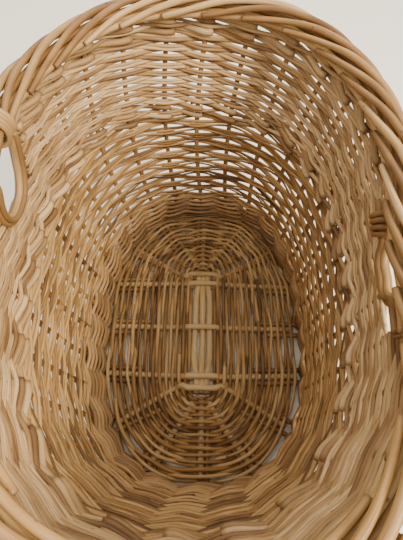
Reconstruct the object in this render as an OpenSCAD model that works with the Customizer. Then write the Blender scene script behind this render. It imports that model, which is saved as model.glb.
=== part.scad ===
// Oval wicker log basket with two hand-holes under a rolled border.
// Millimetres. +Z up, long axis along Y, hand-holes at the -X and +X sides.
// Origin: centre of the bounding box, on the floor.

/* [Base] */
// Half width of the woven base
base_half_width = 134; // [125:1:145]
// Half length of the woven base
base_half_length = 200; // [190:1:215]
// Squareness of the oval: 2 is an ellipse
oval_power = 2.5; // [2.2:0.1:2.8]
// Height of the base's upper surface above the floor
base_top = 18; // [17:1:22]
// Thickness of the base weave
base_thick = 14; // [13:0.5:14]
// Diameter of the short base sticks
short_stick_d = 9; // [8.5:0.1:9]
// Diameter of the long base sticks
long_stick_d = 8; // [7:0.5:8]

/* [Wall] */
// Height of the woven wall above the base
wall_height = 302; // [300:1:320]
// How far the sides lean out by the top of the wall
side_flare = 30; // [24:1:34]
// How far the ends lean out by the top of the wall
end_flare = 40; // [34:1:46]
// Outward swelling of the wall at mid height
belly = 5; // [0:1:6]
// Sideways bow of the hand-made wall at mid height, towards -X
side_bow = 13; // [0:1:13]
// Sideways bow of the hand-made wall at mid height, towards -Y
end_bow = 4; // [0:1:6]
// Extra lean of the near (-Y) end by the top of the wall
near_lean = 12; // [0:1:14]
// Diameter of the stakes
stake_d = 6; // [5:0.5:6]
// Thickness of the woven courses
weave_thick = 4; // [3.5:0.1:4.2]

/* [Border and hand-holes] */
// Diameter of each of the three twisted border strands
strand_d = 12.4; // [11:0.2:12.4]
// Height above the base where the weave stops under the hand-holes
hole_low = 246; // [244:1:252]
// Diameter of the rods in the bows under the hand-holes
bow_rod_d = 6; // [5:0.5:6]
// Diameter of the rod wound round the border at each hand-hole
wrap_rod_d = 5; // [4:0.5:5]

/* [Hidden] */
STAKES = 30;
SPOKES = 16;
OUTLINE_STEPS = 360;
CLEAR = 0.15;          // gap left between pieces that touch
BASE_SHIFT = [8.9, 6.55];  // middle of the base, from the origin
RIM_SHIFT = -0.12;     // brings the middle of the box to the origin
RIM_TWIST = 0.18;      // stakes lean clockwise by this share of their spacing
FOOT_GAP = 4.5;        // stake line outside the base edge at the bottom
BORDER_RISE = 14;      // border centre above the top of the wall
BORDER_INSET = 6.5;    // border centre inside the stake line
BORDER_TURNS = 10;
FOOT_RING_T = 7;
FOOT_RING_GAP = 2.6;    // the stakes swing outwards a little inside the ring
UPSETT_GAP = 1.4;      // the upsett stands this far off the stakes
UPSETT_TOP = 41;       // top of the first wale, above the base
MID_LOW = 181;         // line between the lower and the upper siding
MID_TOP = 200;
LEFT_CUT = 14;         // stakes cut short under the hand-holes
RIGHT_CUT = 28;
WILLOW = [0.80, 0.66, 0.46];
WILLOW_PALE = [0.87, 0.76, 0.58];
WILLOW_DARK = [0.62, 0.47, 0.30];
BARK = [0.45, 0.29, 0.18];

stick_z = base_top - base_thick / 2;
stake_r = stake_d / 2;

// ---- Plan of the basket -------------------------------------------------
// Positions round the oval are counted in stake spacings: 0 is on +X,
// 7.5 is the far end (+Y), 15 is on -X and 22.5 is the near end (-Y).

function signed_power(v, p) = sign(v) * pow(abs(v), p);
function outline_at(angle) = [
    base_half_width * signed_power(cos(angle), 2 / oval_power),
    base_half_length * signed_power(sin(angle), 2 / oval_power)
];

// Arc length from the start, stored against the angle
LENGTH_TABLE = [
    for (
        i = 0, run = 0;
        i <= OUTLINE_STEPS;
        run = run + norm(outline_at((i + 1) * 360 / OUTLINE_STEPS)
                         - outline_at(i * 360 / OUTLINE_STEPS)),
        i = i + 1
    ) [run, i * 360 / OUTLINE_STEPS]
];
SPACING = LENGTH_TABLE[OUTLINE_STEPS][0] / STAKES;

function wrapped(u) = u - STAKES * floor(u / STAKES);
function base_edge(u) = outline_at(lookup(wrapped(u) * SPACING, LENGTH_TABLE));
function unit(v) = v / norm(v);
function edge_run(u) = unit(base_edge(u + 0.1) - base_edge(u - 0.1));
function edge_normal(u) = [edge_run(u)[1], -edge_run(u)[0]];

// ---- The wall as a surface ----------------------------------------------
// Profile knots: the wall is straight between these shares of its height.
KNOTS = [0, UPSETT_TOP / wall_height, 0.4, MID_TOP / wall_height, 1];
HUMP_TABLE = [for (t = KNOTS) [t, 4 * t * (1 - t)]];
function hump_at(t) = t > 1 ? 0 : lookup(t, HUMP_TABLE);

function flare_at(u, t) =
    FOOT_GAP + t * (side_flare + (end_flare - side_flare) * pow(edge_normal(u)[1], 2))
    + near_lean * t * t * pow(max(0, -edge_normal(u)[1]), 2)
    + belly * hump_at(t);
function centre_at(t) = [
    RIM_SHIFT + (BASE_SHIFT[0] - RIM_SHIFT) * (1 - min(t, 1)) - side_bow * hump_at(t),
    BASE_SHIFT[1] - end_bow * hump_at(t)
];

// Point on the wall: u round the oval, h above the base, out from the stake line
function wall_point(u, h, out = 0) =
    let (t = h / wall_height, v = u - RIM_TWIST * t)
    let (p = base_edge(v) + edge_normal(v) * (flare_at(v, t) + out) + centre_at(t))
    [p[0], p[1], base_top + h];

// ---- Shared solids ------------------------------------------------------

// Round rod through a list of points; ref is never parallel to the path
function path_dir(p, i, closed) =
    let (n = len(p))
    closed ? unit(p[(i + 1) % n] - p[(i + n - 1) % n])
           : unit(p[min(i + 1, n - 1)] - p[max(i - 1, 0)]);
function rod_ring(p, i, r, sides, ref, closed) =
    let (d = path_dir(p, i, closed))
    let (a = unit(cross(ref, d)), b = cross(d, a))
    [for (j = [0 : sides - 1]) p[i] + r * (cos(j * 360 / sides) * a + sin(j * 360 / sides) * b)];
module rod(p, d, ref, sides = 8, closed = false) {
    n = len(p);
    last = closed ? n - 1 : n - 2;
    points = [for (i = [0 : n - 1]) each rod_ring(p, i, d / 2, sides, ref, closed)];
    skin = [
        for (i = [0 : last], j = [0 : sides - 1])
            let (k = (j + 1) % sides, m = (i + 1) % n)
            each [
                [i * sides + j, m * sides + j, m * sides + k],
                [i * sides + j, m * sides + k, i * sides + k]
            ]
    ];
    start_cap = [for (j = [1 : sides - 2]) [0, j, j + 1]];
    end_cap = [for (j = [1 : sides - 2]) [(n - 1) * sides, (n - 1) * sides + j + 1, (n - 1) * sides + j]];
    polyhedron(points, closed ? skin : concat(skin, start_cap, end_cap));
}

// Band of wall between two heights. us and outs say where it runs.
module wall_band(us, outs, low, high, thick, closed) {
    n = len(us);
    last = closed ? n - 1 : n - 2;
    points = [
        for (i = [0 : n - 1])
            each [
                wall_point(us[i], low, outs[i] - thick / 2),
                wall_point(us[i], low, outs[i] + thick / 2),
                wall_point(us[i], high, outs[i] + thick / 2),
                wall_point(us[i], high, outs[i] - thick / 2)
            ]
    ];
    skin = [
        for (i = [0 : last], j = [0 : 3])
            let (k = (j + 1) % 4, m = (i + 1) % n)
            each [
                [i * 4 + j, m * 4 + j, m * 4 + k],
                [i * 4 + j, m * 4 + k, i * 4 + k]
            ]
    ];
    start_cap = [[0, 1, 2], [0, 2, 3]];
    end_cap = [
        [(n - 1) * 4, (n - 1) * 4 + 2, (n - 1) * 4 + 1],
        [(n - 1) * 4, (n - 1) * 4 + 3, (n - 1) * 4 + 2]
    ];
    polyhedron(points, closed ? skin : concat(skin, start_cap, end_cap));
}

// One woven course: outside one stake, inside the next
WEAVE_OUT = stake_r + weave_thick / 2 + 0.4;
JAMB_REACH = 0.1;
function woven_out(u, course) =
    let (k = floor(u), at_stake = abs(u - k - 0.5) < 0.01)
    at_stake ? ((k + course) % 2 == 0 ? WEAVE_OUT : -WEAVE_OUT) : 0;
module course_ring(course, low, high) {
    us = [for (i = [0 : 2 * STAKES - 1]) i / 2];
    outs = [for (u = us) woven_out(u, course)];
    wall_band(us, outs, low + CLEAR, high, weave_thick, true);
}
module course_arc(course, low, high, from, to) {
    inner = [for (u = [from : 0.5 : to]) u];
    us = concat([from - JAMB_REACH], inner, [to + JAMB_REACH]);
    ends = [woven_out(from, course), woven_out(to, course)];
    outs = concat([ends[0]], [for (u = inner) woven_out(u, course)], [ends[1]]);
    wall_band(us, outs, low + CLEAR, high, weave_thick, false);
}

// The jambs are the stakes on each side of the one that is cut short
module course(number, low, high) {
    if (high < hole_low + 1) {
        course_ring(number, low, high);
    } else {
        course_arc(number, low, high, LEFT_CUT + 1.5, RIGHT_CUT - 0.5);
        course_arc(number, low, high, RIGHT_CUT + 1.5, STAKES + LEFT_CUT - 0.5);
    }
}
module courses(first, count, low, high) {
    step = (high - low) / count;
    for (i = [0 : count - 1]) {
        course(first + i, low + i * step, low + (i + 1) * step);
    }
}

// ---- Base ---------------------------------------------------------------
// Spokes are the stick ends that reach the edge: 0 on +X, 4 far, 8 on -X, 12 near.
SLATH_END = 96;        // the long sticks run parallel up to here
INNER_STICK_Y = 71;
OUTER_STICK_Y = 87;
LONG_PITCH = 10.5;     // between the long sticks
SPLIT_X = 17;          // half length of the slit in a short stick
SPLIT_RAMP = 5;        // the slit stick is thickest this far past the slit
SPLIT_TIP = 3;         // half thickness where the slit part joins its round arm
ARM_ROOT_X = 36;       // the round arms of the short sticks start here
ARM_REACH = 4;         // and run this far back into the slit part
STICK_INSET = 3;
FOOT_LENGTH = 34;
FOOT_SLOT_REACH = 12;  // the slot for a foot runs on past the base edge
FOOT_SIDE = 9;         // stake feet lie this far beside a stick's axis

function spoke_end(s) = base_edge(s * STAKES / SPOKES) - edge_normal(s * STAKES / SPOKES) * STICK_INSET;
function short_y(row) = [-OUTER_STICK_Y, -INNER_STICK_Y, 0, INNER_STICK_Y, OUTER_STICK_Y][row];
// Where each spoke leaves the straight middle of its stick. Counted from the
// nearer side, 0 to 2 belong to short sticks, and 3 and 4 to long ones.
function spoke_root(s) =
    let (across = s < 4 || s > 12 ? 1 : -1, along = s < 8 ? 1 : -1, step = min(s % 8, 8 - s % 8))
    step < 3 ? [across * ARM_ROOT_X, along * [0, INNER_STICK_Y, OUTER_STICK_Y][step]]
             : [across * (4 - step) * LONG_PITCH, along * SLATH_END];

function spoke_dir(s) = unit(spoke_end(s) - spoke_root(s));

module bar(a, b, d) {
    along = b - a;
    turn = atan2(along[1], along[0]);
    translate([a[0] + BASE_SHIFT[0], a[1] + BASE_SHIFT[1], stick_z]) rotate([0, 90, turn]) cylinder(h = norm(along), d = d, $fn = 24);
}
ELBOW_SWELL = 0.3;     // a bend is a little fatter than its stick
module elbow(a, d) {
    translate([a[0] + BASE_SHIFT[0], a[1] + BASE_SHIFT[1], stick_z]) sphere(d = d + ELBOW_SWELL, $fn = 24);
}
// Square channel through the base weave, a little wider than the bar it holds
module channel(a, b, d) {
    along = b - a;
    width = d + 2 * CLEAR;
    translate([a[0] + BASE_SHIFT[0], a[1] + BASE_SHIFT[1], stick_z]) rotate(atan2(along[1], along[0]))
        translate([0, -width / 2, -width / 2]) cube([norm(along), width, width]);
}
function long_x(which) = (which - 2) * LONG_PITCH;
function far_spoke(which) = [5, 4, 3][which - 1];
function near_spoke(which) = [11, 12, 13][which - 1];
module long_stick(which) {
    far = [long_x(which), SLATH_END];
    near = [long_x(which), -SLATH_END];
    bar(near, far, long_stick_d);
    elbow(far, long_stick_d);
    elbow(near, long_stick_d);
    bar(far, spoke_end(far_spoke(which)), long_stick_d);
    bar(near, spoke_end(near_spoke(which)), long_stick_d);
}
module long_channel(which) {
    d = long_stick_d + ELBOW_SWELL;
    far = [long_x(which), SLATH_END];
    near = [long_x(which), -SLATH_END];
    channel(near - [0, d / 2 + CLEAR], far + [0, d / 2 + CLEAR], d);
    channel(far, spoke_end(far_spoke(which)), d);
    channel(near, spoke_end(near_spoke(which)), d);
}
// A short stick is slit in the middle, and the long sticks pass through the slit
module slit_middle(y) {
    half = SPLIT_X + SPLIT_RAMP;
    lip = base_thick / 2;
    window = long_stick_d / 2 + CLEAR;
    translate([BASE_SHIFT[0], BASE_SHIFT[1] + y + short_stick_d / 2 - 0.5, stick_z]) rotate([90, 0, 0])
        linear_extrude(short_stick_d - 1) difference() {
            polygon([
                [-ARM_ROOT_X, -SPLIT_TIP], [-half, -lip], [half, -lip], [ARM_ROOT_X, -SPLIT_TIP],
                [ARM_ROOT_X, SPLIT_TIP], [half, lip], [-half, lip], [-ARM_ROOT_X, SPLIT_TIP]
            ]);
            polygon([
                [-SPLIT_X, -window], [SPLIT_X, -window],
                [SPLIT_X, window], [-SPLIT_X, window]
            ]);
        }
}
function arm_start(s) = spoke_root(s) - ARM_REACH * spoke_dir(s);
module short_stick_arm(s) {
    bar(arm_start(s), spoke_end(s), short_stick_d);
}
function right_spoke(row) = [14, 15, 0, 1, 2][row];
function left_spoke(row) = [10, 9, 8, 7, 6][row];
module short_stick(row) {
    slit_middle(short_y(row));
    short_stick_arm(right_spoke(row));
    short_stick_arm(left_spoke(row));
}

// Stake feet lie beside the spokes: one each side, but a single one at spokes 4 and 12
function stake_spoke(k) = [0, 1, 1, 2, 2, 3, 3, 4, 5, 5, 6, 6, 7, 7, 8, 8, 9, 9, 10, 10,
                           11, 11, 12, 13, 13, 14, 14, 15, 15, 0][k];
function stake_side(k) = [1, -1, 1, -1, 1, -1, 1, 1, -1, 1, -1, 1, -1, 1, -1, 1, -1, 1, -1, 1,
                          -1, 1, 1, -1, 1, -1, 1, -1, 1, -1][k];
function foot_axis(k) =
    let (d = spoke_dir(stake_spoke(k)))
    spoke_end(stake_spoke(k)) + stake_side(k) * FOOT_SIDE * [-d[1], d[0]];
function foot_tip(k) = foot_axis(k) - FOOT_LENGTH * spoke_dir(stake_spoke(k));

module base_oval(out) {
    translate(BASE_SHIFT) polygon([
        for (i = [0 : 119]) let (u = i * STAKES / 120) base_edge(u) + edge_normal(u) * out
    ]);
}
SLOT_HALF = 22;         // the middle of the base is open, so its sticks show
SLOT_MARGIN = 6;
SLIT_SLOT_HALF = 40;    // room for the thicker slit part of each short stick
module base_weave() {
    color(WILLOW) difference() {
        translate([0, 0, base_top - base_thick]) linear_extrude(base_thick) base_oval(0);
        translate([BASE_SHIFT[0] - SLOT_HALF, BASE_SHIFT[1] - OUTER_STICK_Y - SLOT_MARGIN, 0])
            cube([2 * SLOT_HALF, 2 * (OUTER_STICK_Y + SLOT_MARGIN), base_top + 1]);
        for (i = [1 : 3]) {
            long_channel(i);
        }
        for (row = [0 : 4]) {
            channel(arm_start(right_spoke(row)), spoke_end(right_spoke(row)), short_stick_d);
            channel(arm_start(left_spoke(row)), spoke_end(left_spoke(row)), short_stick_d);
            translate([BASE_SHIFT[0] - SLIT_SLOT_HALF, BASE_SHIFT[1] + short_y(row) - short_stick_d / 2, 0])
                cube([2 * SLIT_SLOT_HALF, short_stick_d, base_top + 1]);
        }
        for (k = [0 : STAKES - 1]) {
            channel(foot_tip(k), foot_axis(k) + FOOT_SLOT_REACH * spoke_dir(stake_spoke(k)), stake_d);
        }
    }
}
module base_stick_long(i) {
    color(WILLOW_PALE) long_stick(i);
}
module base_stick_short(i) {
    color(WILLOW_PALE) short_stick(i - 1);
}

// ---- Stakes -------------------------------------------------------------
function stake_top(k) = k == LEFT_CUT || k == RIGHT_CUT ? hole_low : wall_height;
function foot_knee(k) =
    let (d = spoke_dir(stake_spoke(k)), a = foot_axis(k) + (STICK_INSET + FOOT_GAP) * d)
    [a[0] + BASE_SHIFT[0], a[1] + BASE_SHIFT[1], stick_z];
function stake_path(k) =
    let (tip = foot_tip(k), top = stake_top(k))
    let (knots = [for (t = KNOTS) if (t > 0 && t * wall_height < top) t * wall_height])
    concat(
        [[tip[0] + BASE_SHIFT[0], tip[1] + BASE_SHIFT[1], stick_z]],
        [foot_knee(k)],
        [for (h = knots) wall_point(k + 0.5, h)],
        [wall_point(k + 0.5, top)]
    );
module stake(number) {
    k = number - 1;
    run = edge_run(k + 0.5);
    color(WILLOW_DARK) rod(stake_path(k), stake_d, [run[0], run[1], 0], 6);
}

// ---- Wales and siding ---------------------------------------------------
module foot_wale() {
    inner = FOOT_GAP + stake_r + FOOT_RING_GAP;
    color(WILLOW_DARK) linear_extrude(base_top) difference() {
        base_oval(inner + FOOT_RING_T);
        base_oval(inner);
    }
}
module upsett_wale(side) {
    us = [for (i = [0 : 2 * STAKES - 1]) i / 2];
    out = stake_r + weave_thick / 2 + UPSETT_GAP;
    outs = [for (u = us) side * out];
    color(WILLOW_DARK) wall_band(us, outs, CLEAR, UPSETT_TOP, weave_thick, true);
}
module upsett_wale_outer() {
    upsett_wale(1);
}
module upsett_wale_inner() {
    upsett_wale(-1);
}
LOWER_STEP = (MID_LOW - UPSETT_TOP) / 4;
module lower_siding(i) {
    low = UPSETT_TOP + (i - 1) * LOWER_STEP;
    color(WILLOW) courses(2 * i, 2, low, low + LOWER_STEP);
}
module middle_band() {
    color(WILLOW_PALE) courses(10, 1, MID_LOW, MID_TOP);
}
TOP_LOW = wall_height - 16;
module upper_siding_1() {
    color(WILLOW) courses(11, 3, MID_TOP, hole_low);
}
module upper_siding_2() {
    color(WILLOW) courses(14, 3, hole_low, TOP_LOW);
}
module top_band() {
    color(WILLOW_PALE) courses(17, 1, TOP_LOW, wall_height);
}

// ---- Border -------------------------------------------------------------
STRAND_ORBIT = strand_d / sqrt(3) + 0.5;
STRAND_STEPS = 90;
function border_axis(u) = wall_point(u, wall_height + BORDER_RISE, -BORDER_INSET);
function strand_point(i, phase) =
    let (u = i * STAKES / STRAND_STEPS, c = border_axis(u), n = edge_normal(u - RIM_TWIST))
    let (a = phase + 360 * BORDER_TURNS * i / STRAND_STEPS)
    c + STRAND_ORBIT * [cos(a) * n[0], cos(a) * n[1], sin(a)];
module border_strand(i) {
    path = [for (s = [0 : STRAND_STEPS - 1]) strand_point(s, i * 120)];
    color(WILLOW_PALE) rod(path, strand_d, [0, 0, 1], 6, true);
}

// ---- Hand-holes ---------------------------------------------------------
BOW_ROOT = 0.2;        // the bow starts this far from its jamb stake
BOW_DROP = 6;          // the bow's ends stop this far under the top of the wall
BOW_LIFT = 0.6;        // the bow lies this far over the cut stake
BOW_STEPS = 10;
// The bow hangs between its two jambs like a shallow bowl
function bow_height(low, share) = low + (wall_height - BOW_DROP - low) * pow(abs(2 * share - 1), 3);
function bow_path(cut, low, out) = [
    for (i = [0 : BOW_STEPS])
        let (share = i / BOW_STEPS, from = cut - 0.5 + BOW_ROOT, to = cut + 1.5 - BOW_ROOT)
        wall_point(from + share * (to - from), bow_height(low, share), out)
];
module bow(cut) {
    n = edge_normal(cut + 0.5);
    low = hole_low + bow_rod_d / 2 + BOW_LIFT;
    color(WILLOW_PALE) for (side = [-1, 1]) {
        rod(bow_path(cut, low, side * (bow_rod_d / 2 + 0.2)), bow_rod_d, [n[0], n[1], 0], 8);
    }
}
module handle_bow_left() {
    bow(LEFT_CUT);
}
module handle_bow_right() {
    bow(RIGHT_CUT);
}
// Four turns of a thin rod wound round the border beside the far jamb
WRAP_TURNS = 4;
module wrap(u, tone) {
    orbit = STRAND_ORBIT + strand_d / 2 + wrap_rod_d / 2 + 0.2;
    for (i = [0 : WRAP_TURNS - 1]) {
        v = u + i * (wrap_rod_d + 0.2) / SPACING;
        c = border_axis(v);
        run = edge_run(v - RIM_TWIST);
        color(tone) translate(c) rotate([90, 0, atan2(run[1], run[0]) + 90])
            rotate_extrude($fn = 48) translate([orbit, 0]) circle(d = wrap_rod_d, $fn = 24);
    }
}
module handle_wrap_left() {
    wrap(LEFT_CUT - 0.34, WILLOW_PALE);
}
module handle_wrap_right() {
    wrap(RIGHT_CUT + 0.75, BARK);
}

base_stick_long(1);  // base_stick_long_1
base_stick_long(2);  // base_stick_long_2
base_stick_long(3);  // base_stick_long_3
base_stick_short(1);  // base_stick_short_1
base_stick_short(2);  // base_stick_short_2
base_stick_short(3);  // base_stick_short_3
base_stick_short(4);  // base_stick_short_4
base_stick_short(5);  // base_stick_short_5
base_weave();
foot_wale();
upsett_wale_outer();
upsett_wale_inner();
lower_siding(1);  // lower_siding_1
lower_siding(2);  // lower_siding_2
lower_siding(3);  // lower_siding_3
lower_siding(4);  // lower_siding_4
middle_band();
upper_siding_1();
upper_siding_2();
top_band();
border_strand(1);  // border_strand_1
border_strand(2);  // border_strand_2
border_strand(3);  // border_strand_3
handle_bow_left();
handle_bow_right();
handle_wrap_left();
handle_wrap_right();
for (k = [1 : STAKES]) {
    name = str("stake_", k < 10 ? "0" : "", k);
    stake(k);
}
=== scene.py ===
import math

import bpy
import numpy as np
from mathutils import Matrix, Vector


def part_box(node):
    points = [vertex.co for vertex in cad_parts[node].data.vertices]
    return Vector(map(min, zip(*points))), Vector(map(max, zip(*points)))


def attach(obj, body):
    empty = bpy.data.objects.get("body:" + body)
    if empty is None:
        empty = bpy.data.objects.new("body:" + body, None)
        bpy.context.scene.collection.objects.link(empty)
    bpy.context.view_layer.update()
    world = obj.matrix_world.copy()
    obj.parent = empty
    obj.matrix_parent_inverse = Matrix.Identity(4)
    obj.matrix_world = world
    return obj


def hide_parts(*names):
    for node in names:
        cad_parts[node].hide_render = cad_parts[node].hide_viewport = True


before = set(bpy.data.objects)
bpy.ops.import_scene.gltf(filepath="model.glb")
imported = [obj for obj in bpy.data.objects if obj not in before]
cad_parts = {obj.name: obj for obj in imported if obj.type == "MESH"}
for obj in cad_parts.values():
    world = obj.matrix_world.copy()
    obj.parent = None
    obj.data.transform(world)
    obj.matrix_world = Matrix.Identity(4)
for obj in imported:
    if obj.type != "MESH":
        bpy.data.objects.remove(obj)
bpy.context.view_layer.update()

# The basket is woven here rod by rod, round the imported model.
# Lengths below are millimetres. Positions round the oval count stakes:
# stake k stands at k + 0.5 stake spacings from +X, towards +Y.

MM = 0.001
RNG = np.random.default_rng(7)

# ---- Driving dimensions, the same as the CAD's ---------------------------
STAKES = 30
SPOKES = 16
base_low, base_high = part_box("base_weave")
BASE_MIDDLE = (np.array(base_low) + np.array(base_high))[:2] / 2 / MM
BASE_HALF = ((base_high[0] - base_low[0]) / 2 / MM, (base_high[1] - base_low[1]) / 2 / MM)
BASE_TOP = base_high[2] / MM
STICK_Z = (base_low[2] + base_high[2]) / 2 / MM
WALL_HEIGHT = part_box("top_band")[1][2] / MM - BASE_TOP
OVAL_POWER = 2.5
RIM_SHIFT = -0.12
RIM_TWIST = 0.18
FOOT_GAP = 4.5
SIDE_FLARE, END_FLARE, BELLY = 30, 40, 5
NEAR_LEAN = 20
SIDE_BOW, END_BOW = 13, 4
STAKE_R = 3.2
UPSETT_TOP = 41
MIDDLE_LOW = 183
TOP_LOW = 286
LEFT_CUT, RIGHT_CUT = 14, 28
HOLE_LOW = 246
BORDER_RISE = 10
BORDER_INSET = 6.5


# ---- The oval and the wall ------------------------------------------------
def oval(angle):
    c, s = np.cos(angle), np.sin(angle)
    x = BASE_HALF[0] * np.sign(c) * np.abs(c) ** (2 / OVAL_POWER)
    y = BASE_HALF[1] * np.sign(s) * np.abs(s) ** (2 / OVAL_POWER)
    return np.stack([x, y], axis=-1)


ANGLES = np.linspace(0, 2 * np.pi, 1441)
OUTLINE = oval(ANGLES)
ARC = np.concatenate([[0], np.cumsum(np.linalg.norm(np.diff(OUTLINE, axis=0), axis=1))])
SPACING = ARC[-1] / STAKES


def edge(u):
    run = np.mod(np.asarray(u, float), STAKES) * SPACING
    return oval(np.interp(run, ARC, ANGLES))


def edge_normal(u):
    run = edge(np.asarray(u, float) + 0.1) - edge(np.asarray(u, float) - 0.1)
    run = run / np.linalg.norm(run, axis=-1, keepdims=True)
    return np.stack([run[..., 1], -run[..., 0]], axis=-1)


def wall(u, h, out=0.0):
    """Points on the wall: u round the oval, h above the base, out from the stake line."""
    u, h, out = np.broadcast_arrays(np.asarray(u, float), np.asarray(h, float), np.asarray(out, float))
    t = h / WALL_HEIGHT
    hump = 4 * np.clip(t, 0, 1) * (1 - np.clip(t, 0, 1))
    v = u - RIM_TWIST * t
    n = edge_normal(v)
    flare = FOOT_GAP + t * (SIDE_FLARE + (END_FLARE - SIDE_FLARE) * n[..., 1] ** 2) + BELLY * hump
    flare = flare + NEAR_LEAN * t ** 2 * np.maximum(0, -n[..., 1]) ** 2
    p = edge(v) + n * (np.where(t < 0, FOOT_GAP, flare) + out)[..., None]
    low = 1 - np.clip(t, 0, 1)
    x = p[..., 0] + RIM_SHIFT + (BASE_MIDDLE[0] - RIM_SHIFT) * low - SIDE_BOW * hump
    y = p[..., 1] + BASE_MIDDLE[1] - END_BOW * hump
    return np.stack([x, y, BASE_TOP + h], axis=-1)


def wall_out(u, h):
    n = edge_normal(np.asarray(u, float) - RIM_TWIST * np.asarray(h, float) / WALL_HEIGHT)
    return np.concatenate([n, np.zeros(n.shape[:-1] + (1,))], axis=-1)


# ---- Base spokes and stake feet -------------------------------------------
SLATH_END = 96
INNER_STICK_Y, OUTER_STICK_Y = 71, 87
LONG_PITCH = 10.5
ROOT_X = 16
STICK_INSET = 3
FOOT_SIDE = 8.5
FOOT_LENGTH = 55


def spoke_end(s):
    u = s * STAKES / SPOKES
    return edge(u) - edge_normal(u) * STICK_INSET


def spoke_root(s):
    across = 1 if s < 4 or s > 12 else -1
    along = 1 if s < 8 else -1
    step = min(s % 8, 8 - s % 8)
    if step == 4:
        return np.array([0.0, along * SLATH_END])
    if step == 3:
        return np.array([across * LONG_PITCH, along * SLATH_END])
    y = (0, INNER_STICK_Y, OUTER_STICK_Y)[step]
    return np.array([across * ROOT_X, along * y], float)


SINGLE_SPOKES = (4, 12)
FEET = [(s, side) for s in range(SPOKES) for side in (-1, 1) if side > 0 or s not in SINGLE_SPOKES]
FEET = FEET[1:] + FEET[:1]


def foot_line(k):
    s, side = FEET[k]
    d = spoke_end(s) - spoke_root(s)
    d /= np.linalg.norm(d)
    return spoke_end(s) + side * FOOT_SIDE * np.array([-d[1], d[0]]), d


FOOT_U = np.array([s * STAKES / SPOKES + side * FOOT_SIDE / SPACING for s, side in FEET])
FOOT_U[-1] += STAKES * (FOOT_U[-1] < FOOT_U[-2])


def stake_u(q, h):
    """Where fractional stake q stands at height h: paired at the base, even above the upsett."""
    q = np.asarray(q, float)
    turns = np.floor(q / STAKES)
    shift = FOOT_U - (np.arange(STAKES) + 0.5)
    shifts = np.interp(q - turns * STAKES, np.arange(STAKES + 1), np.append(shift, shift[0]))
    ease = np.clip(1 - (np.asarray(h, float) + 7) / (UPSETT_TOP + 7), 0, 1)
    return q + 0.5 + shifts * ease ** 1.5


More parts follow.
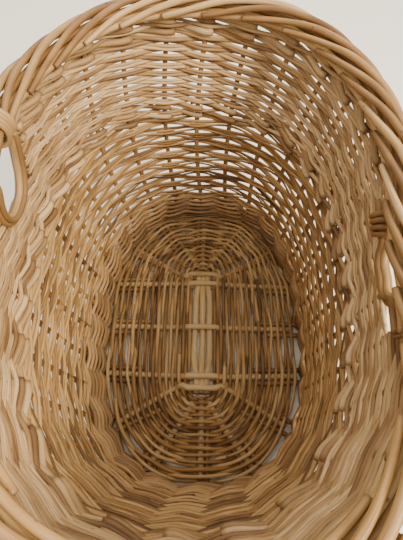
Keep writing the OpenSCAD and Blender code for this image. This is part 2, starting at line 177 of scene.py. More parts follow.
# ---- Rods as meshes ---------------------------------------------------------
class Rods:
    """Collects round rods into one mesh, with what the willow shader reads."""

    def __init__(self):
        self.points, self.faces, self.grain, self.tone, self.butt = [], [], [], [], []
        self.count = 0

    def add(self, path, diameter, ref, sides=8, tone=None, closed=False, butts=(0, 0)):
        path = np.asarray(path, float)
        n = len(path)
        ahead = np.roll(path, -1, 0) - np.roll(path, 1, 0)
        if not closed:
            ahead[0], ahead[-1] = path[1] - path[0], path[-1] - path[-2]
        ahead /= np.linalg.norm(ahead, axis=1, keepdims=True)
        ref = np.broadcast_to(np.asarray(ref, float), path.shape)
        a = ref - (ref * ahead).sum(1, keepdims=True) * ahead
        a /= np.linalg.norm(a, axis=1, keepdims=True)
        b = np.cross(ahead, a)
        run = np.concatenate([[0], np.cumsum(np.linalg.norm(np.diff(path, axis=0), axis=1))])
        radius = np.broadcast_to(np.asarray(diameter, float), (n,)) / 2
        phase = RNG.uniform(0, 50)
        radius = radius * (1 + 0.035 * np.sin(run / 17 + phase) + 0.025 * np.sin(run / 7.3 + 2 * phase))
        turn = np.arange(sides) * 2 * np.pi / sides + phase
        cos, sin = np.cos(turn), np.sin(turn)
        spread = cos[None, :, None] * a[:, None] + sin[None, :, None] * b[:, None]
        ring = path[:, None] + radius[:, None, None] * spread
        offset = RNG.uniform(-900, 900, 3)
        grain = np.stack([
            np.broadcast_to(cos * 2.5, (n, sides)), np.broadcast_to(sin * 2.5, (n, sides)),
            np.broadcast_to(run[:, None], (n, sides))], axis=-1) + offset
        tone = RNG.uniform(0, 1) if tone is None else tone
        near_butt = np.full(n, 1e3)
        if butts[0]:
            near_butt = np.minimum(near_butt, run)
        if butts[1]:
            near_butt = np.minimum(near_butt, run[-1] - run)
        start = self.count
        self.points.append(ring.reshape(-1, 3))
        self.grain.append(grain.reshape(-1, 3))
        self.tone.append(np.full(n * sides, tone))
        self.butt.append(np.repeat(np.exp(-near_butt / 2.5), sides))
        i = np.arange(n if closed else n - 1)
        j = np.arange(sides)
        i0, j0 = np.meshgrid(i, j, indexing="ij")
        i1, j1 = (i0 + 1) % n, (j0 + 1) % sides
        quads = np.stack([i0 * sides + j0, i0 * sides + j1, i1 * sides + j1, i1 * sides + j0], axis=-1)
        self.faces.append(quads.reshape(-1, 4) + start)
        self.count += n * sides
        if not closed:
            self.cap(ring[0], path[0], grain[0], tone, start, True, butts[0])
            self.cap(ring[-1], path[-1], grain[-1], tone, start + (n - 1) * sides, False, butts[1])

    def cap(self, ring, middle, grain, tone, first, flip, butt):
        sides = len(ring)
        self.points.append(middle[None])
        self.grain.append(grain.mean(0)[None])
        self.tone.append(np.array([tone]))
        self.butt.append(np.array([1.0 if butt else 0.0]))
        k = np.arange(sides)
        nxt = (k + 1) % sides
        centre = np.full(sides, self.count)
        pair = (first + nxt, first + k) if flip else (first + k, first + nxt)
        self.faces.append(np.stack([pair[0], pair[1], centre, centre], axis=-1))
        self.count += 1

    def build(self, name, material, slot, nodes):
        points = np.concatenate(self.points) * MM
        quads = np.concatenate(self.faces)
        triangle = quads[:, 2] == quads[:, 3]
        loops = np.concatenate([quads[~triangle].ravel(), quads[triangle][:, :3].ravel()])
        sizes = np.concatenate([np.full((~triangle).sum(), 4), np.full(triangle.sum(), 3)])
        starts = np.concatenate([[0], np.cumsum(sizes)[:-1]])
        mesh = bpy.data.meshes.new(name)
        mesh.vertices.add(len(points))
        mesh.vertices.foreach_set("co", points.ravel().astype(np.float32))
        mesh.loops.add(len(loops))
        mesh.loops.foreach_set("vertex_index", loops.astype(np.int32))
        mesh.polygons.add(len(sizes))
        mesh.polygons.foreach_set("loop_start", starts.astype(np.int32))
        mesh.polygons.foreach_set("loop_total", sizes.astype(np.int32))
        mesh.update(calc_edges=True)
        mesh.validate()
        mesh.polygons.foreach_set("use_smooth", np.ones(len(sizes), bool))
        grain = mesh.attributes.new("grain", "FLOAT_VECTOR", "POINT")
        grain.data.foreach_set("vector", np.concatenate(self.grain).ravel().astype(np.float32))
        for label, values in (("tone", self.tone), ("butt", self.butt)):
            layer = mesh.attributes.new(label, "FLOAT", "POINT")
            layer.data.foreach_set("value", np.concatenate(values).astype(np.float32))
        mesh.materials.append(material)
        piece = bpy.data.objects.new(name, mesh)
        bpy.context.scene.collection.objects.link(piece)
        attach(piece, "root")
        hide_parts(*nodes)
        return piece


STRAIGHT = 0.88
SLEW_SWING = 0.76
RAND_SWING = 0.80
SIDE_CALM = 0.28
OPEN_MIDDLE = 4.5


def swing_share(q, full):
    """Rods swing in and out less along the long sides."""
    return full - SIDE_CALM * edge_normal(q + 0.5)[..., 0] ** 2


def tightness(q):
    """The weave is open at the far right and closed at the left and near sides."""
    return 0.5 - 0.5 * np.cos(2 * np.pi * (q - OPEN_MIDDLE) / STAKES)


def wobble(q, size, seed):
    """Small smooth hand-made unevenness along a run of stakes."""
    waves = ((1.0, 2.1, 1.0), (0.7, 3.7, 1.9), (0.5, 0.9, 3.1))
    return size * sum(high * np.sin(q * rate + turn * seed) for high, rate, turn in waves) / 1.5


def woven(q, sides_of, reach):
    """Out from the stake line: nearly straight between the sides taken at the stakes."""
    k = np.floor(q).astype(int)
    f = q - k
    ease = 0.5 - 0.5 * np.arcsin(STRAIGHT * np.cos(np.pi * f)) / math.asin(STRAIGHT)
    return reach * (sides_of(k) * (1 - ease) + sides_of(k + 1) * ease)


# ---- Willow ---------------------------------------------------------------
def srgb(r, g, b):
    """A linear colour from screen values of 0 to 255."""
    return tuple(((c / 255 + 0.055) / 1.055) ** 2.4 for c in (r, g, b)) + (1.0,)


def willow(name, pale, middle, dark, roughness=0.5, streak=0.5):
    mat = bpy.data.materials.new(name)
    mat.use_nodes = True
    nodes, links = mat.node_tree.nodes, mat.node_tree.links
    shader = nodes["Principled BSDF"]

    def node(kind, **values):
        made = nodes.new(kind)
        for key, value in values.items():
            setattr(made, key, value)
        return made

    def mix(factor, a, b, blend="MIX"):
        made = node("ShaderNodeMix", data_type="RGBA", blend_type=blend)
        for socket, value in ((made.inputs[0], factor), (made.inputs[6], a), (made.inputs[7], b)):
            if isinstance(value, (float, int, tuple)):
                socket.default_value = value
            else:
                links.new(value, socket)
        return made.outputs[2]

    def math_node(operation, a, b=0.0):
        made = node("ShaderNodeMath", operation=operation)
        for socket, value in zip(made.inputs, (a, b)):
            if isinstance(value, (float, int)):
                socket.default_value = value
            else:
                links.new(value, socket)
        return made.outputs[0]

    def noise(scale, size, detail=3.0):
        mapping = node("ShaderNodeMapping")
        mapping.inputs["Scale"].default_value = scale
        links.new(grain, mapping.inputs["Vector"])
        made = node("ShaderNodeTexNoise")
        made.inputs["Scale"].default_value = size
        made.inputs["Detail"].default_value = detail
        links.new(mapping.outputs[0], made.inputs["Vector"])
        return made.outputs["Fac"]

    def ramp(value, stops):
        made = node("ShaderNodeValToRGB")
        while len(made.color_ramp.elements) < len(stops):
            made.color_ramp.elements.new(0.5)
        for element, (place, colour) in zip(made.color_ramp.elements, stops):
            element.position, element.color = place, colour
        links.new(value, made.inputs[0])
        return made.outputs[0]

    grain = node("ShaderNodeAttribute", attribute_name="grain").outputs["Vector"]
    tone = node("ShaderNodeAttribute", attribute_name="tone").outputs["Fac"]
    butt = node("ShaderNodeAttribute", attribute_name="butt").outputs["Fac"]
    drift = noise((0.3, 0.3, 1.0), 0.022, 2.0)
    shade = math_node("ADD", math_node("MULTIPLY", tone, 0.75), math_node("MULTIPLY", drift, 0.45))
    body = ramp(shade, ((0.20, dark), (0.46, middle), (0.60, middle), (0.88, pale)))
    warmth = math_node("MULTIPLY", math_node("FRACT", math_node("MULTIPLY", tone, 7.3)), 0.55)
    body = mix(warmth, body, mix(1.0, body, (0.96, 0.85, 0.68, 1), "MULTIPLY"))
    fibres = noise((1.0, 1.0, 0.035), 1.1, 4.0)
    fibre_stops = ((0.30, (0.50, 0.42, 0.32, 1)), (0.52, (1, 1, 1, 1)), (0.75, (1.15, 1.12, 1.05, 1)))
    fibre_tint = ramp(fibres, fibre_stops)
    coloured = mix(streak, body, mix(1.0, body, fibre_tint, "MULTIPLY"))
    blotch = ramp(noise((0.6, 0.6, 0.25), 0.16, 3.0), ((0.60, (0, 0, 0, 1)), (0.72, (1, 1, 1, 1))))
    stain = mix(1.0, coloured, (0.62, 0.45, 0.30, 1), "MULTIPLY")
    stained = mix(math_node("MULTIPLY", blotch, 0.35), coloured, stain)
    knots = node("ShaderNodeTexVoronoi")
    knot_map = node("ShaderNodeMapping")
    knot_map.inputs["Scale"].default_value = (0.12, 0.12, 0.05)
    links.new(grain, knot_map.inputs["Vector"])
    links.new(knot_map.outputs[0], knots.inputs["Vector"])
    knots.inputs["Scale"].default_value = 1.0
    knot = ramp(knots.outputs["Distance"], ((0.03, (1, 1, 1, 1)), (0.10, (0, 0, 0, 1))))
    spotted = mix(math_node("MULTIPLY", knot, 0.75), stained, (0.035, 0.018, 0.008, 1))
    pith = mix(math_node("MULTIPLY", butt, 0.55), spotted, srgb(120, 88, 58))
    links.new(pith, shader.inputs["Base Color"])
    rough = ramp(fibres, ((0.3, (roughness + 0.14,) * 3 + (1,)), (0.7, (roughness - 0.08,) * 3 + (1,))))
    links.new(rough, shader.inputs["Roughness"])
    bump = node("ShaderNodeBump")
    bump.inputs["Strength"].default_value = 0.35
    bump.inputs["Distance"].default_value = 0.0004
    links.new(math_node("ADD", fibres, math_node("MULTIPLY", knot, 0.8)), bump.inputs["Height"])
    links.new(bump.outputs[0], shader.inputs["Normal"])
    shader.inputs["Specular IOR Level"].default_value = 0.35
    return mat


WILLOW_SIDING = willow("willow_siding", srgb(193, 156, 101), srgb(154, 118, 68), srgb(96, 67, 35))
WILLOW_UPPER = willow("willow_upper", srgb(210, 180, 132), srgb(174, 140, 94), srgb(114, 82, 48))
WILLOW_BASE = willow("willow_base", srgb(186, 152, 102), srgb(150, 115, 68), srgb(98, 68, 36))
WILLOW_STICK = willow("willow_sticks", srgb(194, 168, 120), srgb(170, 141, 95), srgb(126, 95, 55))
WILLOW_DARK = willow("willow_dark", srgb(184, 148, 100), srgb(156, 121, 78), srgb(108, 79, 46))
WILLOW_BORDER = willow("willow_border", srgb(196, 163, 110), srgb(168, 131, 80), srgb(118, 82, 44), 0.44)
WILLOW_STAKE = willow("willow_stakes", srgb(158, 124, 80), srgb(132, 98, 58), srgb(92, 63, 34))
# The right wrap's willow is painted darker than the walls' willow: painted shade of the shaded right side
# over the rod's own golden brown.
WILLOW_WRAP_PAINTED_SHADE = willow("willow_bark", srgb(156, 114, 66), srgb(124, 86, 46), srgb(80, 51, 26), 0.42, 0.5)


# ---- Base ------------------------------------------------------------------
def base_point(p, z):
    return np.array([p[0] + BASE_MIDDLE[0], p[1] + BASE_MIDDLE[1], z])


def smooth_path(points, step=5.0, closed=False):
    """A smooth curve through the points, sampled about every step."""
    points = np.asarray(points, float)
    n = len(points)
    spans = n if closed else n - 1
    out = []
    for i in range(spans):
        if closed:
            p0, p1, p2, p3 = (points[(i + k) % n] for k in (-1, 0, 1, 2))
        else:
            p0, p1, p2, p3 = (points[min(max(i + k, 0), n - 1)] for k in (-1, 0, 1, 2))
        count = max(2, int(round(np.linalg.norm(p2 - p1) / step)))
        t = (np.arange(count) / count)[:, None]
        out.append(0.5 * (2 * p1 + (p2 - p0) * t + (2 * p0 - 5 * p1 + 4 * p2 - p3) * t ** 2
                          + (3 * p1 - p0 - 3 * p2 + p3) * t ** 3))
    if not closed:
        out.append(points[-1:])
    return np.concatenate(out)


UP = np.array([0.0, 0.0, 1.0])
SHORT_STICK_D = 8.2


def make_long_sticks():
    rods = Rods()
    for which, (far, near) in enumerate(((5, 11), (4, 12), (3, 13))):
        x = (which - 1) * LONG_PITCH
        points = [base_point(spoke_end(near), STICK_Z)]
        points += [base_point((x, y), STICK_Z) for y in (-SLATH_END - 6, -40, 40, SLATH_END + 6)]
        points.append(base_point(spoke_end(far), STICK_Z))
        path = smooth_path(points, 8)
        path[:, 0] += wobble(path[:, 1] / 60, 0.5, which)
        along = path[:, 1] - BASE_MIDDLE[1]
        slath = np.abs(along) < SLATH_END + 4
        for part, tone in ((slath, 0.9 - 0.1 * which), (along < -SLATH_END, 0.3), (along > SLATH_END, 0.3)):
            rods.add(path[part], 8.6 + 0.4 * which, UP, 14, tone, butts=(1, 1))
    nodes = ["base_stick_long_%d" % i for i in (1, 2, 3)]
    rods.build("base_sticks_long", WILLOW_STICK, "willow_sticks", nodes)


def make_short_sticks():
    """Each short stick is slit, and its two halves pass over and under the long ones."""
    rows = ((14, 10), (15, 9), (0, 8), (1, 7), (2, 6))
    lift = 5.4
    for i, (right, left) in enumerate(rows):
        rods = Rods()
        y = spoke_root(right)[1]
        for half in (-1, 1):
            bends = ((spoke_end(left), 1.2), ((-34, y), 1.6), ((-19, y), lift), ((0, y), lift + 0.8),
                     ((19, y), lift), ((34, y), 1.6), (spoke_end(right), 1.2))
            points = [base_point(place, STICK_Z + half * high) for place, high in bends]
            path = smooth_path(points, 5)
            across = path[:, 0] - BASE_MIDDLE[0]
            arm_tone = 0.25 if abs(y) > INNER_STICK_Y else 0.55
            parts = ((np.abs(across) < 36, 0.9 - 0.08 * i), (across < -26, arm_tone), (across > 26, arm_tone))
            for part, tone in parts:
                rods.add(path[part], SHORT_STICK_D, UP, 12, tone, butts=(1, 1))
        name = "base_stick_short_rod_%d" % (i + 1)
        rods.build(name, WILLOW_STICK, "willow_sticks", ["base_stick_short_%d" % (i + 1)])


PAIRING_ROUNDS = 13


def make_base_weave():
    """Two rods a round, side by side, each over one spoke and under the next."""
    rods = Rods()
    for r in range(PAIRING_ROUNDS):
        for which in (0, 1):
            share = (r + 0.20 + 0.5 * which) / (PAIRING_ROUNDS - 0.35)
            weaver_d = 4.8 + 0.3 * math.sin(r * 1.7 + which)
            points = []
            for s in range(SPOKES):
                root, end = spoke_root(s), spoke_end(s)
                here = root + (end - root) * share
                nxt = spoke_root((s + 1) % SPOKES)
                nxt = nxt + (spoke_end((s + 1) % SPOKES) - nxt) * share
                over = 1 if (s + which) % 2 == 0 else -1
                points.append(base_point(here, STICK_Z + over * (4.3 + weaver_d / 2 - 0.6)))
                half_way = (s + 0.5) * STAKES / SPOKES
                outline = edge(half_way) - edge_normal(half_way) * STICK_INSET
                sagitta = outline - (spoke_end(s) + spoke_end((s + 1) % SPOKES)) / 2
                middle = (here + nxt) / 2 + sagitta * share
                away = middle / np.linalg.norm(middle)
                far_apart = np.linalg.norm(nxt - here) > 45
                bulge = 0.4 + RNG.normal(0, 1.1 if far_apart else 0.5)
                points.append(base_point(middle + away * bulge, STICK_Z + RNG.normal(0, 1.2)))
            path = smooth_path(points, 5, True)
            path[:, 2] = np.maximum(path[:, 2], weaver_d / 2 + 0.3)
            share_round = np.arange(len(path)) / len(path)
            taper = weaver_d * (1 + 0.12 * np.sin(share_round * 2 * np.pi + r * 2 + which))
            pieces = 3
            cut = int(RNG.uniform(0, len(path)))
            path, taper = np.roll(path, cut, 0), np.roll(taper, cut)
            ends = np.linspace(0, len(path), pieces + 1).astype(int)
            for a, b in zip(ends[:-1], ends[1:]):
                part = np.take(path, np.arange(a, b + 2), axis=0, mode="wrap")
                rods.add(part, np.take(taper, np.arange(a, b + 2), mode="wrap"), UP, 8, butts=(1, 0))
    rods.build("base_pairing", WILLOW_BASE, "willow_base", ["base_weave"])


# ---- Stakes -----------------------------------------------------------------
def make_stakes():
    for k in range(STAKES):
        rods = Rods()
        foot, d = foot_line(k)
        low_z = STICK_Z + RNG.uniform(-0.5, 1.0)
        top = HOLE_LOW - 2 if k in (LEFT_CUT, RIGHT_CUT) else WALL_HEIGHT + 2
        points = [base_point(foot - d * FOOT_LENGTH * RNG.uniform(0.6, 1.15), low_z),
                  base_point(foot - d * 8, low_z), base_point(foot + d * (STICK_INSET + 2.5), low_z + 1.0)]
        heights = np.append(np.arange(4, top - 6, 12), top)
        up = wall(stake_u(np.full(len(heights), k), heights), heights, 0)
        up[1:-1] += wall_out(k + 0.5, 100) * wobble(heights[1:-1, None] / 30, 0.4, k)
        path = smooth_path(np.concatenate([points, up]), 5)
        n = edge_normal(k + 0.5)
        rods.add(path, np.linspace(6.8, 6.2, len(path)), (-n[1], n[0], 0), 10, butts=(1, 1))
        rods.build("stake_rod_%02d" % (k + 1), WILLOW_STAKE, "willow_stakes", ["stake_%02d" % (k + 1)])


# ---- Wales --------------------------------------------------------------------
HOLE_HALF_STAKES = 0.86


def add_run(rods, q, h, out, diameter, tone=None, butts=(0, 0)):
    """One rod along the wall, cut where it would cross a hand-hole."""
    keep = np.ones(len(q), bool)
    for cut in (LEFT_CUT, RIGHT_CUT):
        across = np.abs(np.mod(q - cut + STAKES / 2, STAKES) - STAKES / 2)
        keep &= ~((across < HOLE_HALF_STAKES) & (h > HOLE_LOW))
    path = wall(stake_u(q, h), h, out)
    ref = wall_out(q + 0.5, h)
    diameter = np.broadcast_to(diameter, q.shape)
    edges = np.flatnonzero(np.diff(np.concatenate([[0], keep.astype(int), [0]])))
    for a, b in zip(edges[::2], edges[1::2]):
        if b - a > 2:
            rods.add(path[a:b], diameter[a:b], ref[a:b], 8, tone, butts=butts)


def wale_side(shift):
    return lambda k: np.where(np.mod(k - shift, 3) == 2, -1.0, 1.0)


FOOT_SLACK = 5.0
SLACK_MIDDLE, SLACK_HALF = 27.3, 4.6
SLACK_TOP = 30


def foot_slack(q, h):
    """On the right the lowest rods stand a little off the base, which leaves a slit."""
    # Known fault: this isn't wrapped at stake 0, so the rods' ends there miss by up to 4 mm
    near = np.clip(1 - np.abs(q - SLACK_MIDDLE) / SLACK_HALF, 0, 1)
    return FOOT_SLACK * np.minimum(1, 2 * near) * np.clip(1 - h / SLACK_TOP, 0, 1)


def make_upsett():
    """Three-rod waling: outside two stakes, inside the third, rising as it goes."""
    rods = Rods()
    rod_d = 4.4
    rows = np.concatenate([[-13.4, -8.2, -3.0], np.linspace(4.4, UPSETT_TOP - 4, 5)])
    for row, height in enumerate(rows):
        for which in range(3):
            q = np.arange(0, STAKES + 0.08, 0.1)
            k = np.mod(q - which - row, 3)
            climb = np.interp(k, (0, 1, 2, 3), (-2.6, 0.0, 2.8, -2.6))
            foot = 1.2 if height < 0 else 0.0
            reach = woven(q, wale_side(which + row), STAKE_R + rod_d / 2 - 0.2)
            reach = reach + foot + foot_slack(q, height)
            h = height + climb * (0.75 if height < 0 else 1.0) + wobble(q, 0.35, row + which)
            h = np.maximum(h, rod_d / 2 + 0.2 - BASE_TOP)
            d = rod_d * (1 + 0.12 * np.sin(q / 2.5 + row + which))
            rods.add(wall(stake_u(q, h), h, reach), d, wall_out(q + 0.5, h), 8)
    nodes = ["foot_wale", "upsett_wale_outer", "upsett_wale_inner"]
    rods.build("foot_and_upsett", WILLOW_DARK, "willow_dark", nodes)


def make_butt_wale(name, low, slot_nodes, material):
    """Two layers of rods that each start with a blunt butt inside a stake."""
    rods = Rods()
    for layer in (0, 1):
        for j in range(STAKES):
            ages = np.arange(-0.16, 3.3, 0.1)
            q = j + ages
            side = woven(q, lambda k: np.where(np.mod(k - j, 2) == 0, -1.0, 1.0), 1.0)
            d = np.interp(ages, (-0.2, 0.3, 1.2, 3.4), (7.0, 6.4, 4.9, 3.0)) * RNG.uniform(0.9, 1.06)
            out = side * (STAKE_R + d / 2 - 0.1)
            h = low + 12.0 * layer + 3.4 * np.maximum(ages, 0) + RNG.normal(0, 0.5)
            add_run(rods, q, h, out, d, butts=(1, 0))
    rods.build(name, material, "willow_siding", slot_nodes)


# ---- Siding ---------------------------------------------------------------------
SLEW_ROWS = 16
SLEW_BANDS = 4
SLEW_RODS = 3


def slew_height(row):
    return 43.5 + 7.9 * row + 0.08 * row ** 2


def make_lower_siding():
    """Rows of fine parallel rods that spread at each stake and close up between stakes."""
    rows = SLEW_ROWS // SLEW_BANDS
    for band in range(SLEW_BANDS):
        rods = Rods()
        for row in range(rows * band, rows * band + rows):
            step = slew_height(row + 1) - slew_height(row)
            for i in range(SLEW_RODS):
                q = np.arange(0, STAKES + 0.05, 0.11) + RNG.uniform(0, STAKES)
                bulge = 0.5 + 0.5 * np.cos(2 * np.pi * q)
                side = woven(q, lambda k: np.where(np.mod(k + row, 2) == 0, 1.0, -1.0), 1.0)
                share = (i - 1) / (SLEW_RODS - 1)
                tight = tightness(q)
                d = ((0.32 + 0.06 * tight) * step + 0.2) * (1 + 0.12 * np.sin(q * 0.8 + 5 * i + row))
                spread = step * (0.58 + 0.12 * tight + 0.14 * bulge)
                h = slew_height(row) + share * spread + wobble(q, 0.45, row * 3 + i)
                out = side * swing_share(q, SLEW_SWING) * (STAKE_R + d / 2) + wobble(q, 0.3, row + 7 * i)
                out = out + (i % 2 - 0.5) * 1.6 * (1 - bulge)
                breaks = np.sort(RNG.choice(len(q) - 8, 2, replace=False)) + 4
                for a, b in zip(np.r_[0, breaks], np.r_[breaks, len(q) - 1]):
                    part = slice(a, b + 2)
                    add_run(rods, q[part], h[part], out[part], d[part], butts=(1, 0))
        name = "lower_slew_%d" % (band + 1)
        rods.build(name, WILLOW_SIDING, "willow_siding", ["lower_siding_%d" % (band + 1)])


RAND_ROWS = 18
RAND_SPLIT = 244


def rand_height(k):
    return 202.5 + 4.1 * k + 0.045 * k ** 2


def make_upper_siding():
    """French rand: each pair of rods climbs one row at every stake and weaves in and out."""
    halves = (Rods(), Rods())
    for i in range(STAKES):
        for twin in (-1, 1):
            k = np.arange(-0.12, RAND_ROWS - 0.5 + 0.3 * twin, 0.1)
            q = i + k
            bulge = 0.5 + 0.5 * np.cos(2 * np.pi * k)
            d = np.interp(k, (0, 6, RAND_ROWS), (3.1, 3.4, 4.1)) * RNG.uniform(0.9, 1.1)
            h = rand_height(k) + twin * d * (0.30 + 0.18 * bulge) + wobble(q, 0.3, i + 9 * twin)
            side = -woven(k, lambda s: np.where(np.mod(s, 2) == 0, 1.0, -1.0), 1.0)
            out = side * swing_share(q, RAND_SWING) * (STAKE_R + d / 2) + twin * 0.8 * (1 - bulge)
            tone = RNG.uniform(0, 1)
            low = h < RAND_SPLIT
            add_run(halves[0], q[low], h[low], out[low], d[low], tone, (1, 0))
            high = ~low
            high[max(int(low.sum()) - 1, 0)] = True
            add_run(halves[1], q[high], h[high], out[high], d[high], tone, (0, 1))
    halves[0].build("upper_rand_1", WILLOW_UPPER, "willow_siding", ["upper_siding_1"])
    halves[1].build("upper_rand_2", WILLOW_UPPER, "willow_siding", ["upper_siding_2"])


# ---- Border ------------------------------------------------------------------------
# Where the border sags in (over the right hand-hole) or stands out (at the left one):
# the stake, how many stakes wide, and how far in
BORDER_SAGS = ((28.5, 2.0, 13), (13.8, 2.4, -12))
BORDER_STAKES = 4.2
BORDER_ROD = 7.8


def border_section(turn):
    """Out and height on the border's arched section: 0 is outside, pi inside."""
    return -BORDER_INSET + 11.5 * np.cos(turn), WALL_HEIGHT + BORDER_RISE + 10.5 * np.sin(turn)


def rim_pull(u):
    """How far the border is pulled in from its even course."""
    total = 0.0
    for middle, width, depth in BORDER_SAGS:
        away = np.mod(u - middle + STAKES / 2, STAKES) - STAKES / 2
        total = total + depth * np.exp(-(away / width) ** 2)
    return total


def make_border():
    groups = [Rods() for _ in range(3)]
    for j in range(STAKES):
        p = np.concatenate([np.arange(0.0, 0.5, 0.08), np.arange(0.5, BORDER_STAKES, 0.12)])
        p = np.append(p, BORDER_STAKES)
        turn = np.radians(np.interp(p, (0, 0.35, BORDER_STAKES), (-8, 12, 200)))
        out, h = border_section(turn)
        out = out + 3.0 * np.exp(-(p / 0.3) ** 2)
        q = j + p
        out = out - rim_pull(q + 0.5)
        run = wall(q + 0.5, h + wobble(q, 0.4, j), out + wobble(q, 0.4, j + 3))
        start_h = np.array([WALL_HEIGHT - 8, WALL_HEIGHT - 2, WALL_HEIGHT + 4])
        rise = wall(np.full(3, j + 0.5), start_h, np.array([0.0, 1.5, 3.6]))
        path = smooth_path(np.concatenate([rise, run[1:]]), 5)
        share = np.linspace(0, 1, len(path))
        d = BORDER_ROD * (1.0 - 0.28 * share) * RNG.uniform(0.93, 1.06)
        ref = wall_out(j + 0.5 + share * BORDER_STAKES, WALL_HEIGHT)
        if j in (LEFT_CUT, RIGHT_CUT):
            path, d, ref = path[4:], d[4:], ref[4:]
        groups[j % 3].add(path, d, ref, 10, butts=(0, 1))
    for i, (out, rise) in enumerate(((-9, -3.5), (-1.5, -3.5), (-6.5, 2.5), (-13.0, -4.5))):
        u = np.arange(0, STAKES, 0.15)
        h = WALL_HEIGHT + BORDER_RISE + rise
        ring = wall(u, h, out - rim_pull(u) + wobble(u * 2 * np.pi / 15, 0.5, i))
        groups[i % 3].add(ring, 7.2, wall_out(u, h), 8, closed=True)
    for i, rods in enumerate(groups):
        name = "border_rods_%d" % (i + 1)
        rods.build(name, WILLOW_BORDER, "willow_border", ["border_strand_%d" % (i + 1)])


# ---- Hand-holes ---------------------------------------------------------------------
BOW_RODS = ((-3.2, -0.6), (0.2, 2.8), (3.3, -0.4), (0.1, -3.2))
# Half of each bow: stakes from its middle, height over the weave's edge, out from the stake line
LEFT_BOW = ((0, 1, -5), (0.40, 4, -5), (0.68, 16, -5), (0.78, 34, -6), (0.76, 50, -8),
            (0.74, 62, -9))
RIGHT_BOW = ((0, 21, -11), (0.30, 22, -12), (0.52, 27, -13), (0.70, 36, -14), (1.0, 43, -17),
             (1.5, 49, -19))


def line_frames(u, h, out):
    """Points on the wall with two directions square to their run, the first one outwards."""
    middle = wall(u, h, out)
    run = np.gradient(middle, axis=0)
    run /= np.linalg.norm(run, axis=1, keepdims=True)
    a = wall_out(u, h)
    a = a - (a * run).sum(1, keepdims=True) * run
    a /= np.linalg.norm(a, axis=1, keepdims=True)
    return middle, a, np.cross(run, a)


def make_bow(side, centre, half):
    """A bundle of rods hangs under the hole from the border."""
    whole = [(-along, high, out) for along, high, out in half[:0:-1]] + list(half)
    line = smooth_path([(along * SPACING, high, out) for along, high, out in whole], 2.5)
    u, h, out = centre + line[:, 0] / SPACING, HOLE_LOW + line[:, 1], line[:, 2]
    middle, a, b = line_frames(u, h, out)
    bow = Rods()
    for i, (along_a, along_b) in enumerate(BOW_RODS):
        bow.add(middle + along_a * a + along_b * b, 5.6 - 0.1 * i, a, 10, 0.2 + 0.2 * i)
    bow.build("bow_rods_" + side, WILLOW_BASE, "willow_border", ["handle_bow_" + side])
    return middle, a, b


def make_coil(side, line, radius_a, radius_b, start, end, material, slot):
    """One rod wound just over four times round the line between two shares of its length."""
    middle, a, b = line
    angle = np.radians(np.arange(0, 360 * 4.3, 15))
    place = np.linspace(start, end, len(angle)) * (len(middle) - 1)
    index = np.arange(len(middle))

    def at(values):
        return np.stack([np.interp(place, index, values[:, i]) for i in range(3)], axis=-1)

    swing = radius_a * np.cos(angle)[:, None] * at(a) + radius_b * np.sin(angle)[:, None] * at(b)
    coil = Rods()
    coil.add(at(middle) + swing, 4.8, swing, 10, 0.6, butts=(1, 1))
    coil.build("wrap_coil_" + side, material, slot, ["handle_wrap_" + side])


# ---- Stage ----------------------------------------------------------------------------
def make_floor():
    mesh = bpy.data.meshes.new("floor")
    half = 6.0
    corners = [(-half, -half, 0), (half, -half, 0), (half, half, 0), (-half, half, 0)]
    mesh.from_pydata(corners, [], [(0, 1, 2, 3)])
    mat = bpy.data.materials.new("floor_paint")
    mat.use_nodes = True
    shader = mat.node_tree.nodes["Principled BSDF"]
    shader.inputs["Roughness"].default_value = 0.8
    noise = mat.node_tree.nodes.new("ShaderNodeTexNoise")
    noise.inputs["Scale"].default_value = 3.0
    tint = mat.node_tree.nodes.new("ShaderNodeValToRGB")
    tint.color_ramp.elements[0].color = (0.95, 0.91, 0.78, 1)
    tint.color_ramp.elements[1].color = (0.97, 0.94, 0.82, 1)
    mat.node_tree.links.new(noise.outputs["Fac"], tint.inputs[0])
    mat.node_tree.links.new(tint.outputs[0], shader.inputs["Base Color"])
    mesh.materials.append(mat)
    floor = bpy.data.objects.new("floor", mesh)
    bpy.context.scene.collection.objects.link(floor)


def area_light(name, place, target, size, watts, colour):
    data = bpy.data.lights.new(name, "AREA")
    data.shape = "DISK"
    data.size, data.energy, data.color = size, watts, colour
    light = bpy.data.objects.new(name, data)
    light.location = place
    light.rotation_euler = (Vector(target) - Vector(place)).to_track_quat("-Z", "Y").to_euler()
    bpy.context.scene.collection.objects.link(light)


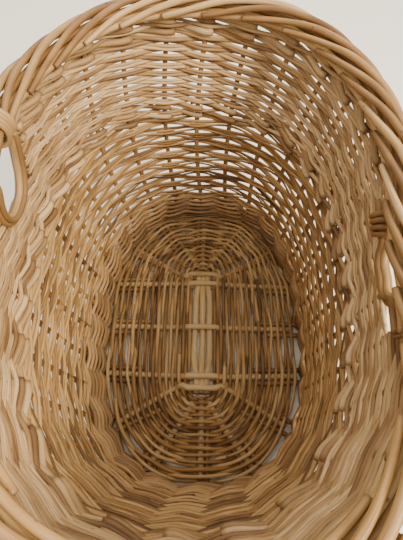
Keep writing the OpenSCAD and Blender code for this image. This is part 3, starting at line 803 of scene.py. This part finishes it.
def make_light():
    world = bpy.data.worlds.new("studio")
    world.use_nodes = True
    back = world.node_tree.nodes["Background"]
    back.inputs[0].default_value = (1.0, 0.965, 0.91, 1)
    back.inputs[1].default_value = 1.12
    bpy.context.scene.world = world
    area_light("key", (1.35, -0.75, 1.75), (-0.05, 0.05, 0.15), 0.9, 80, (1.0, 0.91, 0.77))
    area_light("back", (0.1, 1.4, 1.7), (0, -0.2, 0.15), 1.2, 16, (1.0, 0.94, 0.86))
    area_light("fill", (0.1, -0.6, 2.3), (0, 0, 0.2), 1.6, 14, (1.0, 0.96, 0.90))


# The viewer stands at the near end and looks down into the basket
CAMERA_FROM_BASE = (-8.2, -218, 549.4)
CAMERA_PITCH, CAMERA_YAW, CAMERA_ROLL = 29.54, -1.23, 1.46
CAMERA_LENS = 27.07


def make_camera():
    data = bpy.data.cameras.new("camera")
    data.sensor_width = 36
    data.lens = CAMERA_LENS
    data.clip_start = 0.01
    camera = bpy.data.objects.new("camera", data)
    roll, pitch, yaw = (math.radians(angle) for angle in (CAMERA_ROLL, CAMERA_PITCH, CAMERA_YAW))
    turn = Matrix.Rotation(roll, 4, "Z") @ Matrix.Rotation(pitch, 4, "X") @ Matrix.Rotation(yaw, 4, "Y")
    base_middle = Vector((BASE_MIDDLE[0], BASE_MIDDLE[1], BASE_TOP))
    camera.matrix_world = Matrix.Translation((base_middle + Vector(CAMERA_FROM_BASE)) * MM) @ turn
    bpy.context.scene.collection.objects.link(camera)
    bpy.context.scene.camera = camera


make_camera()
make_long_sticks()
make_short_sticks()
make_base_weave()
make_stakes()
make_upsett()
make_lower_siding()
make_butt_wale("middle_wale", MIDDLE_LOW, ["middle_band"], WILLOW_UPPER)
make_upper_siding()
make_butt_wale("top_wale", TOP_LOW, ["top_band"], WILLOW_UPPER)
make_border()
make_bow("left", LEFT_CUT + 0.68, LEFT_BOW)
right_line = make_bow("right", RIGHT_CUT + 0.55, RIGHT_BOW)
border_u = LEFT_CUT + np.linspace(-0.4, 0.4, 40)
border_h = np.full(len(border_u), WALL_HEIGHT + BORDER_RISE)
left_line = line_frames(border_u, border_h, -BORDER_INSET - rim_pull(border_u))
make_coil("left", left_line, 16.8, 15.8, 0.15, 0.75, WILLOW_BORDER, "willow_border")
# The right wrap takes the willow that has the painted shade of the shaded right side.
make_coil("right", right_line, 9.2, 8.4, 0.91, 0.76, WILLOW_WRAP_PAINTED_SHADE, "willow_bark")
make_floor()
make_light()
